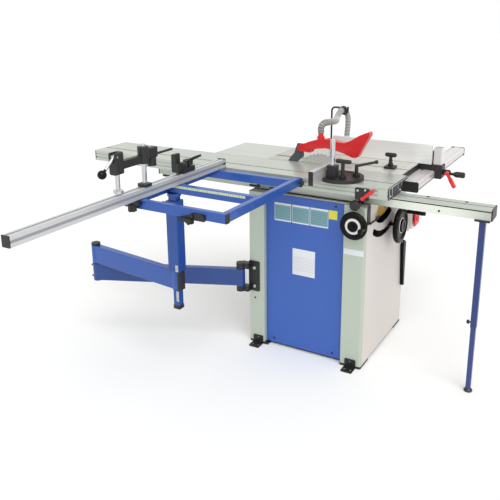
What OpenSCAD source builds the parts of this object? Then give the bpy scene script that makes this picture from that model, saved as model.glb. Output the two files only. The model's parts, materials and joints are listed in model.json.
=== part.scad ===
// Sliding table saw: cabinet, cast tables, sliding carriage with outrigger, tilting saw unit, rip fence.
// Millimetres. Origin at the middle of the base on the floor, +X toward the operator, +Z up.

/* [Cabinet] */
// Height of the table top above the floor
table_h = 870; // [820:1:900]
// Width of the cabinet along X
cab_w = 578; // [540:1:620]
// Depth of the cabinet along Y
cab_d = 564; // [520:1:600]
// Height of the low part of the cabinet
cab_top = 768; // [740:1:780]
// Thickness of the cabinet sheet
sheet = 3; // [2:0.5:4]
// Height of the black plinth
plinth_h = 12; // [8:1:30]
// Recess of the access panel behind the corner columns
panel_recess = 20; // [12:1:26]
// Half distance between the anchor holes along X
anchor_x = 254; // [246:1:258]
// Distance of the anchor holes outside the cabinet
anchor_out = 28; // [22:1:34]
// Radius of an anchor hole
anchor_r = 6; // [4:0.5:8]

/* [Tables] */
// Front end of the cast table
table_x1 = 362; // [340:1:380]
// Length of the cast table
table_l = 680; // [640:1:700]
// Width of the cast table
table_w = 494; // [420:1:520]
// Depth of the casting
table_t = 40; // [32:1:44]
// Length of the sheet table behind the cast table
rear_l = 304; // [250:1:340]
// Y position of the mitre slot
slot_y = 47; // [40:1:60]
// Width of the mitre slot
slot_w = 19; // [14:0.5:22]

/* [Saw unit] */
// Blade diameter
blade_d = 315; // [290:1:325]
// Blade thickness over the teeth
blade_t = 3.2; // [2.4:0.1:4]
// Y position of the blade plane, also the tilt axis
blade_y = -32; // [-34:0.5:-30]
// X position of the arbor
arbor_x = -35; // [-40:1:-30]
// Depth of the arbor below the table top
arbor_drop = 107; // [100:1:112]
// Radius of the arc along which the height shaft travels
shaft_arc = 281; // [270:1:290]
// Running clearance between bodies
gap = 0.3; // [0.25:0.05:0.5]

/* [Carriage] */
// Front end of the carriage
carriage_x1 = 388; // [360:1:420]
// Length of the carriage
carriage_l = 1595; // [1400:5:1700]
// Width of the carriage
carriage_w = 246; // [236:1:250]
// Front end of the guide beam
beam_x1 = 787; // [760:1:820]
// Length of the guide beam
beam_l = 1633; // [1500:5:1700]
// Width of the guide beam
beam_w = 88; // [80:1:92]
// Ball diameter in the carriage guide
ball_d = 12; // [10:0.5:13]

/* [Outrigger] */
// Side of the frame farthest from the carriage
frame_y0 = -917; // [-960:1:-880]
// Tube width
tube_w = 25; // [22:1:28]
// Tube height
tube_h = 37; // [30:1:38]
// Length of the cross-cut fence
fence_l = 1211; // [1100:1:1300]
// Width of the cross-cut fence
fence_w = 35; // [30:1:40]
// Height of the cross-cut fence
fence_h = 40; // [34:1:50]

/* [Rip fence] */
// Length of the rip rail
rail_l = 853; // [800:1:900]
// Face of the rip plate
rip_y = 200; // [180:1:240]
// Height of the rip plate
rip_h = 95; // [70:1:110]
// Length of the rip plate
rip_l = 504; // [440:1:506]

/* [Hidden] */
$fn = 48;

cab_x = cab_w / 2;
cab_y = cab_d / 2;
seat_z = table_h - table_t;
seat_y = -112;
shoe_l = 100;
panel_x0 = -206;
panel_x1 = 191;
panel_y = -cab_y + panel_recess;
table_x0 = table_x1 - table_l;
table_y0 = -54;
table_y1 = table_y0 + table_w;
arbor_z = table_h - arbor_drop;
arbor_pulley_r = 30;
motor_pulley_r = 44;
motor_x = 50;
motor_z = arbor_z - 141;
shaft_a = -17.2;
shaft_y = blade_y - shaft_arc * sin(shaft_a);
shaft_z = table_h - shaft_arc * cos(shaft_a);
car_y1 = table_y0 - 1.5;
car_y0 = car_y1 - carriage_w;
car_x0 = carriage_x1 - carriage_l;
car_z0 = table_h - 52;
beam_z0 = cab_top + 3;
beam_h = 46;
beam_top = beam_z0 + beam_h;
beam_y0 = -188 - beam_w / 2;
beam_y1 = -188 + beam_w / 2;
beam_x0 = beam_x1 - beam_l;
run_gap = table_h - beam_top - 45;
ball_z = beam_top + run_gap / 2;
ball_rows = [-214, -162];
frame_z0 = table_h - tube_h;
rail_y0 = -48;
rip_z = table_h + 0.5;
rip_seat = table_h - 0.5;

// Solids along an axis and rounded outlines
module along_x(l) {
  rotate([90, 0, 90]) linear_extrude(l) children();
}
module along_y(l) {
  translate([0, l, 0]) rotate([90, 0, 0]) linear_extrude(l) children();
}
module pin_x(r, l) {
  rotate([0, 90, 0]) cylinder(r = r, h = l);
}
module pin_y(r, l) {
  rotate([-90, 0, 0]) cylinder(r = r, h = l);
}
module plate2(w, h, r) {
  translate([r, 0]) square([w - 2 * r, h]);
  translate([0, r]) square([w, h - 2 * r]);
  for (x = [r, w - r], y = [r, h - r]) translate([x, y]) circle(r);
}
module tube2(w, h, r, t) {
  difference() {
    plate2(w, h, r);
    translate([t, t]) plate2(w - 2 * t, h - 2 * t, r - t / 2);
  }
}
module arc2(r0, r1, a0, a1) {
  intersection() {
    difference() {
      circle(r1, $fn = 96);
      circle(r0, $fn = 96);
    }
    polygon(concat([[0, 0]], [for (i = [0:6])
      2 * r1 * [cos(a0 + (a1 - a0) * i / 6), sin(a0 + (a1 - a0) * i / 6)]]));
  }
}
// Arc about the tilt axis, angles from straight down, positive toward the panel side
module tilt2(r0, r1, t0, t1) {
  translate([blade_y, table_h]) arc2(r0, r1, -90 - t1, -90 - t0);
}
// Knob with scalloped rim, axis along Z
module knob(r, h) {
  difference() {
    cylinder(r = r, h = h);
    for (i = [0:5]) rotate([0, 0, i * 60]) translate([r * 1.2, 0, -1]) cylinder(r = r * 0.36, h = h + 2);
  }
}
// Handwheel about +Z with rim, three spokes, hub and crank grip
module handwheel(r, rim, grip_a, grip_l) {
  rotate_extrude($fn = 96) translate([r - rim / 2, rim / 2]) circle(rim / 2, $fn = 24);
  for (i = [0:2]) rotate([0, 0, i * 120 + 90]) translate([0, -9, rim / 2 - 5]) cube([r - rim / 2, 18, 10]);
  difference() {
    cylinder(r = r * 0.36, h = rim + 4);
    translate([0, 0, rim + 2]) cylinder(r = r * 0.2, h = 3);
  }
  rotate([0, 0, grip_a]) translate([r - rim / 2, 0, rim / 2]) cylinder(r = 5, h = grip_l);
  rotate([0, 0, grip_a]) translate([r - rim / 2, 0, rim + 4]) rotate_extrude() grip2(grip_l - 12);
}
module grip2(l) {
  polygon([[0, 0], [9, 0], [10, l * 0.12], [8, l * 0.4], [11, l * 0.8], [9, l], [0, l]]);
}

// Sheet cabinet with corner columns, low shelf under the guide beam and high walls under the table
module wall2(t) {
  translate([-cab_x + t, -cab_y + t]) plate2(cab_w - 2 * t, cab_d - 2 * t, 9 - t);
}
module cabinet_shell() color([0.86, 0.84, 0.80]) difference() {
  union() {
    difference() {
      translate([0, 0, plinth_h]) linear_extrude(seat_z - plinth_h) wall2(0);
      translate([0, 0, plinth_h - 1]) linear_extrude(seat_z) wall2(sheet);
      translate([-cab_x - 1, -cab_y - 1, cab_top]) cube([cab_w + 2, cab_y + seat_y + 1, 200]);
      translate([panel_x0, -cab_y - 1, plinth_h - 1]) cube([panel_x1 - panel_x0, 20, cab_top]);
    }
    for (x = [panel_x0 - sheet, panel_x1])
      translate([x, -cab_y + 0.5, plinth_h]) cube([sheet, panel_recess + 8, cab_top - plinth_h]);
    for (x = [panel_x0 - sheet, panel_x1 - 20])
      translate([x, panel_y + sheet, plinth_h]) cube([20 + sheet, sheet, cab_top - plinth_h]);
    for (x = [-cab_x + 1, panel_x1])
      translate([x, -cab_y + 1, cab_top - sheet])
        cube([x < 0 ? panel_x0 + cab_x : cab_x - panel_x1 - 1, 46, sheet]);
    translate([panel_x0 - 2, panel_y + sheet, cab_top - sheet]) cube([panel_x1 - panel_x0 + 4, 20, sheet]);
    for (x = [-cab_x + 1, cab_x - 27])
      translate([x, -cab_y + 1, cab_top - sheet]) cube([26, cab_y + seat_y - 1, sheet]);
    for (x = [-cab_x + 1, cab_x - 13])
      translate([x, seat_y, seat_z - sheet]) cube([12, cab_y - seat_y - 1, sheet]);
    translate([-cab_x + 1, cab_y - 20, seat_z - sheet]) cube([cab_w - 2, 19, sheet]);
    translate([cab_x - 1, 272, 436]) pin_x(4, 16);
  }
  translate([cab_x - 10, 0, 0]) along_x(20) tilt2(shaft_arc - 15, shaft_arc + 15, -19, 30);
  for (t = [-19, 30])
    translate([cab_x - 10, blade_y - shaft_arc * sin(t), table_h - shaft_arc * cos(t)]) pin_x(15, 20);
  translate([cab_x - 10, 0, 0]) along_x(20) tilt2(150, 232, -25, 36);
  translate([252, -cab_y - 1, 694]) pin_y(9, 6);
  translate([-122, cab_y - 6, 330]) pin_y(45, 12);
  for (i = [0:5])
    translate([60, cab_y - 6, 180 + i * 28]) along_y(12) plate2(150, 8, 3.9);
}

// Plinth ring and four anchor brackets
module base_frame() color([0.12, 0.12, 0.12]) difference() {
  union() {
    difference() {
      linear_extrude(plinth_h) wall2(0);
      translate([0, 0, -1]) linear_extrude(plinth_h + 2) wall2(8.9 - 0.1);
      translate([-cab_x + 40, -cab_y + 40, -1]) cube([cab_w - 80, cab_d - 80, plinth_h + 2]);
    }
    difference() {
      translate([-cab_x + 8, -cab_y + 8, 0]) cube([cab_w - 16, cab_d - 16, 4]);
      translate([-cab_x + 45, -cab_y + 45, -1]) cube([cab_w - 90, cab_d - 90, 8]);
    }
    for (sx = [-1, 1], sy = [-1, 1]) scale([sx, sy, 1]) {
      translate([anchor_x - 40, cab_y - 2, 0]) linear_extrude(5) plate2(53, anchor_out + 26, 6);
      translate([anchor_x - 40, cab_y + 0.05, 0]) along_y(4) plate2(53, 42, 6);
    }
  }
  for (y = [-cab_y - 1, cab_y - 36]) translate([-cab_x + shoe_l, y, -1]) cube([cab_w - 2 * shoe_l, 37, 20]);
  for (x = [-cab_x - 1, cab_x - 36]) translate([x, -cab_y + shoe_l, -1]) cube([37, cab_d - 2 * shoe_l, 20]);
  for (sx = [-1, 1], sy = [-1, 1]) scale([sx, sy, 1]) {
    for (x = [anchor_x, anchor_x - 28]) translate([x, cab_y + anchor_out, -1]) cylinder(r = anchor_r, h = 8);
    translate([anchor_x - 14, cab_y - 3, 30]) pin_y(4, 12);
  }
}

// Removable front panel with screw holes and turned-in edges
module access_panel() color([0.27, 0.41, 0.70]) difference() {
  union() {
    translate([panel_x0 + 1, panel_y, plinth_h + 2])
      along_y(sheet) plate2(panel_x1 - panel_x0 - 2, cab_top - plinth_h - 6, 6);
    for (z = [plinth_h + 6, cab_top - 12])
      translate([panel_x0 + 24, panel_y + sheet - 0.2, z]) cube([panel_x1 - panel_x0 - 48, 12, 3]);
  }
  for (x = [-163, 143], z = [36, cab_top - 21]) translate([x, panel_y - 1, z]) pin_y(4, 6);
}

// Cast table: machined top, deep rim, ribs, mitre slot and notch for the insert
module main_table() color([0.72, 0.73, 0.72]) difference() {
  union() {
    translate([table_x0, table_y0, table_h - 13]) linear_extrude(13) plate2(table_l, table_w, 4);
    difference() {
      translate([table_x0 + 4, table_y0 + 2, seat_z])
        linear_extrude(table_t - 6) plate2(table_l - 8, table_w - 4, 8);
      translate([table_x0 + 14, table_y0 + 12, seat_z - 1])
        linear_extrude(table_t) plate2(table_l - 28, table_w - 24, 8);
    }
    for (x = [-250, 190]) translate([x, table_y0 + 6, seat_z + 6]) cube([9, table_w - 12, table_t - 12]);
    for (y = [110, 220, 330]) translate([table_x0 + 8, y, seat_z + 6]) cube([table_l - 16, 8, table_t - 12]);
    translate([0, slot_y, table_h - 22]) translate([table_x0 + 8, -20, 0]) cube([table_l - 16, 40, 12]);
    for (x = [-cab_x + 2, cab_x - 20])
      translate([x, table_y0 + 6, seat_z]) cube([18, cab_y - table_y0 - 6, table_t - 6]);
    translate([-cab_x + 2, cab_y - 22, seat_z]) cube([cab_w - 4, 20, table_t - 6]);
  }
  translate([table_x0 - 1, slot_y - slot_w / 2, table_h - 10]) cube([table_l + 2, slot_w, 11]);
  translate([table_x0 - 1, slot_y - slot_w / 2 - 2.5, table_h - 10]) cube([table_l + 2, slot_w + 5, 4]);
  translate([-246, table_y0 - 1, table_h - 4]) linear_extrude(5) plate2(377, 71, 6);
  translate([-238, table_y0 - 1, seat_z - 1]) cube([361, 62, table_t]);
  translate([-246, table_y0 - 1, seat_z - 1]) cube([377, 10, table_t + 2]);
  translate([table_x1 - 60, -30, seat_z + 14]) pin_x(5, 70);
}

// Throat plate with kerf slot opened below for the tilted blade
module table_insert() color([0.62, 0.63, 0.64]) difference() {
  translate([-245, table_y0 + 0.3, table_h - 4]) linear_extrude(4) plate2(375, 68.5, 5);
  translate([-236, 0, 0]) along_x(354)
    polygon([[blade_y - 3.5, table_h + 1], [blade_y + 3.5, table_h + 1],
      [blade_y + 3.5, table_h - 5], [blade_y - 9.5, table_h - 5]]);
  for (x = [-236, 121]) translate([x, 6, table_h - 5]) cylinder(r = 3, h = 7);
}

// Sheet table with folded rim and two stiffeners
module rear_table() color([0.90, 0.90, 0.88]) {
  difference() {
    translate([table_x0 - rear_l, table_y0, table_h - 30]) cube([rear_l - gap, rear_l, 30]);
    translate([table_x0 - rear_l + 2, table_y0 + 2, table_h - 31]) cube([rear_l - 4 - gap, rear_l - 4, 29]);
    translate([table_x0 - rear_l - 1, 41, table_h - 1]) cube([rear_l + 2, 2, 3]);
  }
  for (y = [20, 130])
    translate([table_x0 - rear_l + 1, y, table_h - 26]) cube([rear_l - 2 - gap, 3, 24.5]);
}

// Extruded guide beam with side groove, hollow chambers and ball tracks
module guide_beam() color([0.78, 0.79, 0.79]) difference() {
  translate([beam_x0, 0, 0]) along_x(beam_l) difference() {
    translate([beam_y0, beam_z0]) plate2(beam_w, beam_h, 1.5);
    translate([beam_y0 + 4, beam_z0 + 4]) plate2(beam_w / 2 - 6, beam_h - 20, 2);
    translate([beam_y0 + beam_w / 2 + 2, beam_z0 + 4]) plate2(beam_w / 2 - 6, beam_h - 20, 2);
    for (y = [beam_y0 - 1, beam_y1 - 5]) translate([y, beam_top - 12]) square([6, 5]);
    for (y = ball_rows) translate([y, ball_z]) rotate(45) square((ball_d + 2 * gap) * 0.9999, center = true);
    translate([-188 - 10, beam_top - 9]) square([20, 5]);
    translate([-188 - 5, beam_top - 6]) square([10, 7]);
  }
  for (x = [518, 674]) translate([x, -196, beam_top - 13]) cylinder(r = 4, h = 20);
  translate([582, beam_y0 - 1, 784]) pin_y(5, 6);
}

// End caps, packing plates under the beam and the bracket of the outer leg
module beam_fittings() color([0.10, 0.10, 0.10]) {
  for (x = [beam_x0 - 5, beam_x1])
    translate([x, beam_y0 - 1, beam_z0 - 1]) along_x(5) plate2(beam_w + 2, beam_h + 1, 4);
  for (x = [-cab_x + 2, cab_x - 26])
    translate([x, beam_y0, cab_top]) cube([24, beam_w, 3]);
  difference() {
    translate([724, -240, beam_z0 - 6]) linear_extrude(6) plate2(60, 96, 5);
    translate([738, -160, beam_z0 - 8]) cylinder(r = 4, h = 10);
    translate([770, -160, beam_z0 - 8]) cylinder(r = 4, h = 10);
  }
  translate([beam_x0 + 8, beam_y0 + 10, beam_z0 - 14]) linear_extrude(14) plate2(46, beam_w - 20, 6);
}

// Square outer tube of the folding-height leg
module leg_tube() color([0.27, 0.41, 0.70]) difference() {
  translate([754 - 12.5, -212 - 12.5, 300]) linear_extrude(beam_z0 - 306) tube2(25, 25, 3, 2);
  translate([730, -212, 318]) pin_x(4.3, 16);
}

// Leg foot: sliding inner tube, round rubber foot and clamp knob
module leg_foot() color([0.10, 0.10, 0.10]) {
  difference() {
    translate([754 - 10.2, -212 - 10.2, 14]) linear_extrude(366) tube2(20.4, 20.4, 2, 2);
    translate([735, -212, 318]) pin_x(3, 16);
  }
  translate([754, -212, 0]) rotate_extrude()
    polygon([[0, 0], [18, 0], [18, 6], [12, 14], [0, 14]]);
}

// Rip rail extrusion with rounded nose, clamp groove and hollow
module rail2() {
  difference() {
    union() {
      translate([table_x1 + 2, 797]) plate2(60, 45, 3);
      translate([table_x1 + 55, 797]) plate2(23, 45, 11);
    }
    translate([table_x1 + 6, 801]) plate2(48, 37, 3);
    translate([table_x1 + 72, 806]) square([8, 6]);
    translate([table_x1 + 12, 839]) square([14, 4]);
  }
}
module rip_rail() color([0.80, 0.81, 0.81])
  translate([0, rail_y0, 0]) along_y(rail_l) rail2();
module rail_fittings() color([0.10, 0.10, 0.10]) {
  for (y = [rail_y0 - 4, rail_y0 + rail_l])
    translate([table_x1 + 2, y, 796]) along_y(4) plate2(77, 47, 8);
  for (y = [20, 200, 380])
    translate([table_x1, y, 804]) cube([2, 40, 36]);
}

// Trunnion plates hung under the table, worm bearings on the front one
module trunnion2() {
  difference() {
    union() {
      tilt2(78, 122, -54, 54);
      tilt2(100, 205, -38, 30);
      translate([-50, 780]) square([110, seat_z - 780]);
    }
    tilt2(168, 184, -30, -9);
    translate([blade_y, table_h]) circle(60);
  }
}
module trunnions() color([0.79, 0.64, 0.30]) {
  difference() {
    translate([262, 0, 0]) along_x(12) trunnion2();
    translate([261, 0, 0]) along_x(7) tilt2(88 - gap, 112 + gap, -50, 50);
    translate([261, -82, 678]) cube([6.5, 106, 32]);
  }
  difference() {
    for (y = [-96, 24]) translate([238, y, 677]) along_y(14) plate2(24.5, 34, 3);
    translate([252, -100, 694]) pin_y(8 + gap, 150);
  }
  difference() {
    translate([-274, 0, 0]) along_x(12) trunnion2();
    translate([-268, 0, 0]) along_x(7) tilt2(88 - gap, 112 + gap, -50, 50);
  }
}

// Dust port with upright branch for the guard hose
module dust_port() color([0.12, 0.12, 0.12]) difference() {
  union() {
    translate([-122, cab_y, 330]) pin_y(62, 4);
    translate([-122, cab_y - 3, 330]) pin_y(44, 150);
    translate([-122, cab_y, 330]) pin_y(49, 102);
    translate([-122, 360, 330]) cylinder(r = 18, h = 100);
  }
  translate([-122, cab_y - 4, 330]) pin_y(41, 160);
  translate([-122, 360, 330]) cylinder(r = 12, h = 101);
}

// Bent rod that carries the hose
module hose_rod() color([0.10, 0.10, 0.10]) {
  difference() {
    translate([-224, table_y1, 836]) linear_extrude(26) plate2(48, 30, 5);
    translate([-200, table_y1 + 15, 835]) cylinder(r = 5, h = 28);
  }
  translate([-200, table_y1 + 15, 820]) cylinder(r = 5, h = 228);
  translate([-180, table_y1 + 15, 1048]) rotate([90, 0, 0])
    rotate_extrude(angle = -90) translate([-20, 0]) circle(5, $fn = 24);
  translate([-180, table_y1 + 15, 1068]) pin_x(5, 23);
  translate([-157, table_y1 + 15, 1068]) sphere(5, $fn = 24);
  translate([-157, table_y1 + 15, 1060]) cylinder(r = 5, h = 8);
  translate([-132, table_y1 + 15, 1060]) rotate([90, 0, 0])
    rotate_extrude(angle = -180) translate([25, 0]) circle(5, $fn = 24);
  translate([-107, table_y1 + 15, 1060]) cylinder(r = 5, h = 15);
}

// Ribbed hose from the guard over the hook to the dust port
hose_r = 16;
hose_path = [[-40, -32, 1018.3], [-40, -32, 1032], [-40, -32, 1044], [-38, -24, 1055], [-37, -4, 1061],
  [-39, 24, 1060], [-50, 110, 1050], [-74, 220, 1036], [-112, 318, 1034], [-130, 385, 1044],
  [-135, 428, 1056], [-132, 454, 1061], [-124, 472, 1046], [-116, 480, 1012], [-116, 481, 965],
  [-120, 481, 910], [-122, 481, 830], [-122, 480, 730], [-122, 472, 645], [-122, 446, 570], [-122, 406, 512],
  [-122, 374, 484], [-122, 360, 462], [-122, 360, 446], [-122, 360, 430.7]];
hose_n = 150;
hose_k = len(hose_path) - 1;
function knot(i) = hose_path[max(0, min(hose_k, i))];
function spline(i, t) = 0.5 * (2 * knot(i) + (knot(i + 1) - knot(i - 1)) * t
  + (2 * knot(i - 1) - 5 * knot(i) + 4 * knot(i + 1) - knot(i + 2)) * t * t
  + (3 * knot(i) - knot(i - 1) - 3 * knot(i + 1) + knot(i + 2)) * t * t * t);
function at(s) = let(i = min(hose_k - 1, floor(s))) spline(i, s - i);
function unit(v) = v / norm(v);
function cum(i) = i == 0 ? 0 : cum(i - 1) + norm(at(i * hose_k / 120) - at((i - 1) * hose_k / 120));
hose_cum = [for (i = [0:120]) cum(i)];
function seek(d, i = 0) = i >= 119 || hose_cum[i + 1] >= d ? i : seek(d, i + 1);
function param(d) = let(i = seek(d)) (i + (d - hose_cum[i]) / (hose_cum[i + 1] - hose_cum[i])) * hose_k / 120;
function side(t) = unit(cross(t, [1, 0.15, 0]));
function ring(d, r) = let(s = param(d), p = at(s), t = unit(at(min(s + 0.02, hose_k)) - at(max(s - 0.02, 0))),
  u = side(t), w = cross(t, u)) [for (k = [0:7]) p + r * (cos(k * 45) * u + sin(k * 45) * w)];
module guard_hose() color([0.62, 0.63, 0.63]) {
  total = hose_cum[120];
  pitch = total / hose_n;
  outer = [for (i = [0:hose_n - 1], j = [0, 1])
    each ring(min(total, max(0, pitch * (i + (j == 0 ? 0 : 0.55)))), j == 0 ? hose_r : hose_r - 2.4)];
  m = 2 * hose_n;
  inner_n = 60;
  inner = [for (i = [inner_n:-1:0]) each ring(pitch * (hose_n - 0.45) * i / inner_n, hose_r - 4.4)];
  n = m + inner_n + 1;
  polyhedron(points = concat(outer, inner), faces = [for (i = [0:n - 1], k = [0:7])
    each let(a = i * 8, b = ((i + 1) % n) * 8, k2 = (k + 1) % 8)
      [[a + k, b + k, b + k2], [a + k, b + k2, a + k2]]], convexity = 10);
}

// Switch enclosure with raised bezel and cable gland
module switch_box() color([0.80, 0.80, 0.78]) {
  difference() {
    translate([cab_x, 190, 540]) along_x(61) plate2(80, 100, 8);
    translate([cab_x + 45, 225, 590]) pin_x(12 + gap, 20);
    translate([cab_x + 55, 225, 590]) pin_x(21, 20);
  }
  translate([cab_x + 30, 230, 518]) cylinder(r = 9, h = 22.2);
}
module stop_button() color([0.80, 0.10, 0.10]) translate([cab_x + 53, 225, 590]) rotate([0, 90, 0])
  rotate_extrude() polygon([[0, 0], [12, 0], [12, 16], [18, 17], [18, 24], [14, 31], [6, 34], [0, 34]]);

// Bracket of the swing arm, bolted to the left column
module arm_bracket() color([0.10, 0.10, 0.10]) difference() {
  union() {
    translate([-288, -cab_y - 6, 274]) along_y(6) plate2(57, 151, 6);
    for (z = [275, 391.5]) {
      translate([-318, -315, z]) cylinder(r = 20, h = 27);
      translate([-318, -319, z]) cube([44, 32, 27]);
    }
    translate([-318, -315, 288.5]) cylinder(r = 9, h = 116.5);
  }
  for (z = [299, 392]) translate([-256, -cab_y - 8, z]) pin_y(5, 10);
}

// Stop block clamped in the mitre slot with its T handle
module slot_stop() color([0.30, 0.31, 0.32]) {
  translate([252, slot_y - 26, table_h]) linear_extrude(10) plate2(50, 52, 6);
  translate([256, slot_y - slot_w / 2 + 0.2, table_h - 8]) cube([42, slot_w - 0.4, 8.2]);
  translate([277, slot_y, table_h + 22]) cylinder(r1 = 9, r2 = 7, h = 40);
  translate([277, slot_y, table_h + 9]) cylinder(r = 12, h = 14);
  translate([259, slot_y, table_h + 62]) pin_x(10, 36);
  for (x = [259, 295]) translate([x, slot_y, table_h + 62]) sphere(10);
}

// Locking knob on the front of the beam
module lock_knob() color([0.10, 0.10, 0.10]) translate([249, beam_y0 - gap, 780]) rotate([90, 0, 0]) {
  cylinder(r = 7, h = 66);
  cylinder(r = 11, h = 10);
  translate([0, 0, 65]) rotate_extrude() polygon([[0, 0], [20, 0], [22, 4], [22, 20], [18, 26], [0, 26]]);
}

// Push stick hung at the edge of the cabinet
module push_stick() color([0.10, 0.10, 0.10]) difference() {
  translate([cab_x + gap, 264, 213]) along_x(8) union() {
    plate2(16, 230, 5);
    translate([-6, 176]) plate2(22, 62, 7);
  }
  translate([cab_x - 1, 272, 436]) pin_x(4 + gap, 12);
  translate([cab_x - 1, 252, 206]) cube([12, 16, 22]);
}

// Swing arm: bracket half, elbow and outer half with the post
arm_s = [-318, -315];
arm_e = [-966, -594];
arm_p = [-428, -660];
module link(a, b) {
  d = b - a;
  translate([a[0], a[1], 0]) rotate([0, 0, atan2(d[1], d[0])]) children();
}
module boss(p, z, r, h, bore) {
  translate([p[0], p[1], z]) difference() {
    cylinder(r = r, h = h);
    translate([0, 0, -1]) cylinder(r = bore, h = h + 2);
  }
}
module inner_arm() color([0.27, 0.41, 0.70]) {
  difference() {
    link(arm_s, arm_e) translate([10, -18, 304]) along_x(norm(arm_e - arm_s) - 20) tube2(36, 84, 4, 3);
    translate([arm_s[0], arm_s[1], 295]) cylinder(r = 21, h = 100);
    translate([arm_e[0], arm_e[1], 295]) cylinder(r = 21, h = 100);
  }
  boss(arm_s, 303, 22, 86, 9 + gap);
  translate([arm_e[0], arm_e[1], 303]) cylinder(r = 22, h = 86);
  translate([arm_e[0], arm_e[1], 388]) cylinder(r = 10, h = 103);
  translate([arm_e[0], arm_e[1], 485]) cylinder(r = 21, h = 8);
}
module outer_arm() color([0.27, 0.41, 0.70]) {
  difference() {
    link(arm_e, arm_p) translate([10, -18, 394]) along_x(norm(arm_p - arm_e) - 20) tube2(36, 88, 4, 3);
    translate([arm_e[0], arm_e[1], 390]) cylinder(r = 21, h = 100);
    translate([arm_p[0], arm_p[1], 390]) cylinder(r = 23, h = 100);
  }
  boss(arm_e, 393, 22, 90, 10 + gap);
  boss(arm_p, 393, 24, 90, 8.02);
}
module support_post() color([0.27, 0.41, 0.70]) translate([arm_p[0], arm_p[1], 0]) {
  translate([0, 0, 310]) cylinder(r = 8, h = 180);
  translate([-16, -16, 302]) linear_extrude(90.5) plate2(32, 32, 4);
  difference() {
    translate([-28, -28, 483]) linear_extrude(317) plate2(56, 56, 4);
    translate([-20, -20, 503]) linear_extrude(310) plate2(40, 40, 2);
  }
  translate([-18.5, -18.5, 502]) linear_extrude(frame_z0 - 0.5 - 502) plate2(37, 37, 2);
  translate([0, 0, frame_z0 - 12]) cylinder(r = 30, h = 11.5);
  translate([-50, 0, 770]) pin_x(6, 30);
  translate([-64, 0, 770]) pin_x(16, 15);
}

// Ball cages that run at half the carriage speed
module ball_cages() color([0.55, 0.56, 0.58]) for (y = ball_rows) {
  difference() {
    translate([-700, y - 9, ball_z - 1.25]) cube([900, 18, 2.5]);
    for (i = [0:8]) translate([-670 + i * 105, y, ball_z - 3]) cylinder(r = ball_d / 2 - 0.6, h = 6);
  }
  for (i = [0:8]) translate([-670 + i * 105, y, ball_z]) sphere(ball_d / 2, $fn = 20);
}

// Sliding carriage extrusion
module carriage_table() color([0.80, 0.81, 0.81]) translate([car_x0, 0, 0]) along_x(carriage_l) difference() {
  union() {
    translate([car_y0, table_h - 12]) plate2(carriage_w, 12, 1.5);
    translate([car_y0, car_z0]) plate2(7, 52, 1.5);
    translate([car_y0, car_z0]) square([44, 5]);
    translate([-262, car_z0]) square([5, 44]);
    translate([-252 - 6, beam_top + run_gap]) square([122, 8]);
    translate([-142, beam_top + run_gap]) square([6, 36]);
    translate([-190, beam_top + run_gap]) square([5, 36]);
  }
  translate([car_y0 - 1, car_z0 + 14]) square([5, 8]);
  translate([car_y0 - 1, car_z0 + 32]) square([4, 6]);
  for (y = ball_rows) translate([y, ball_z]) rotate(45) square((ball_d + 2 * gap) * 0.9999, center = true);
  translate([-222, table_h - 4]) square([10, 5]);
  translate([-226, table_h - 8]) square([18, 4.2]);
}
module carriage_fittings() color([0.10, 0.10, 0.10]) {
  for (x = [car_x0 - 4, carriage_x1]) translate([x, 0, 0]) along_x(4) {
    translate([car_y0, table_h - 14]) plate2(carriage_w, 14, 3);
    translate([car_y0, car_z0]) plate2(168, 50, 4);
  }
  difference() {
    translate([246, car_y0 - 5, car_z0 - 12]) along_y(5) plate2(61, 52, 5);
    for (p = [[258, 846], [291, 851]]) translate([p[0], car_y0 - 6, p[1]]) pin_y(3.5, 8);
  }
}
module lock_lever() color([0.83, 0.12, 0.12]) translate([284, car_y0 - 5 - gap, 816]) {
  rotate([90, 0, 0]) cylinder(r = 8, h = 14);
  rotate([0, -41, 0]) translate([0, -13, -5]) along_y(9) plate2(58, 10, 4.9);
}

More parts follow.
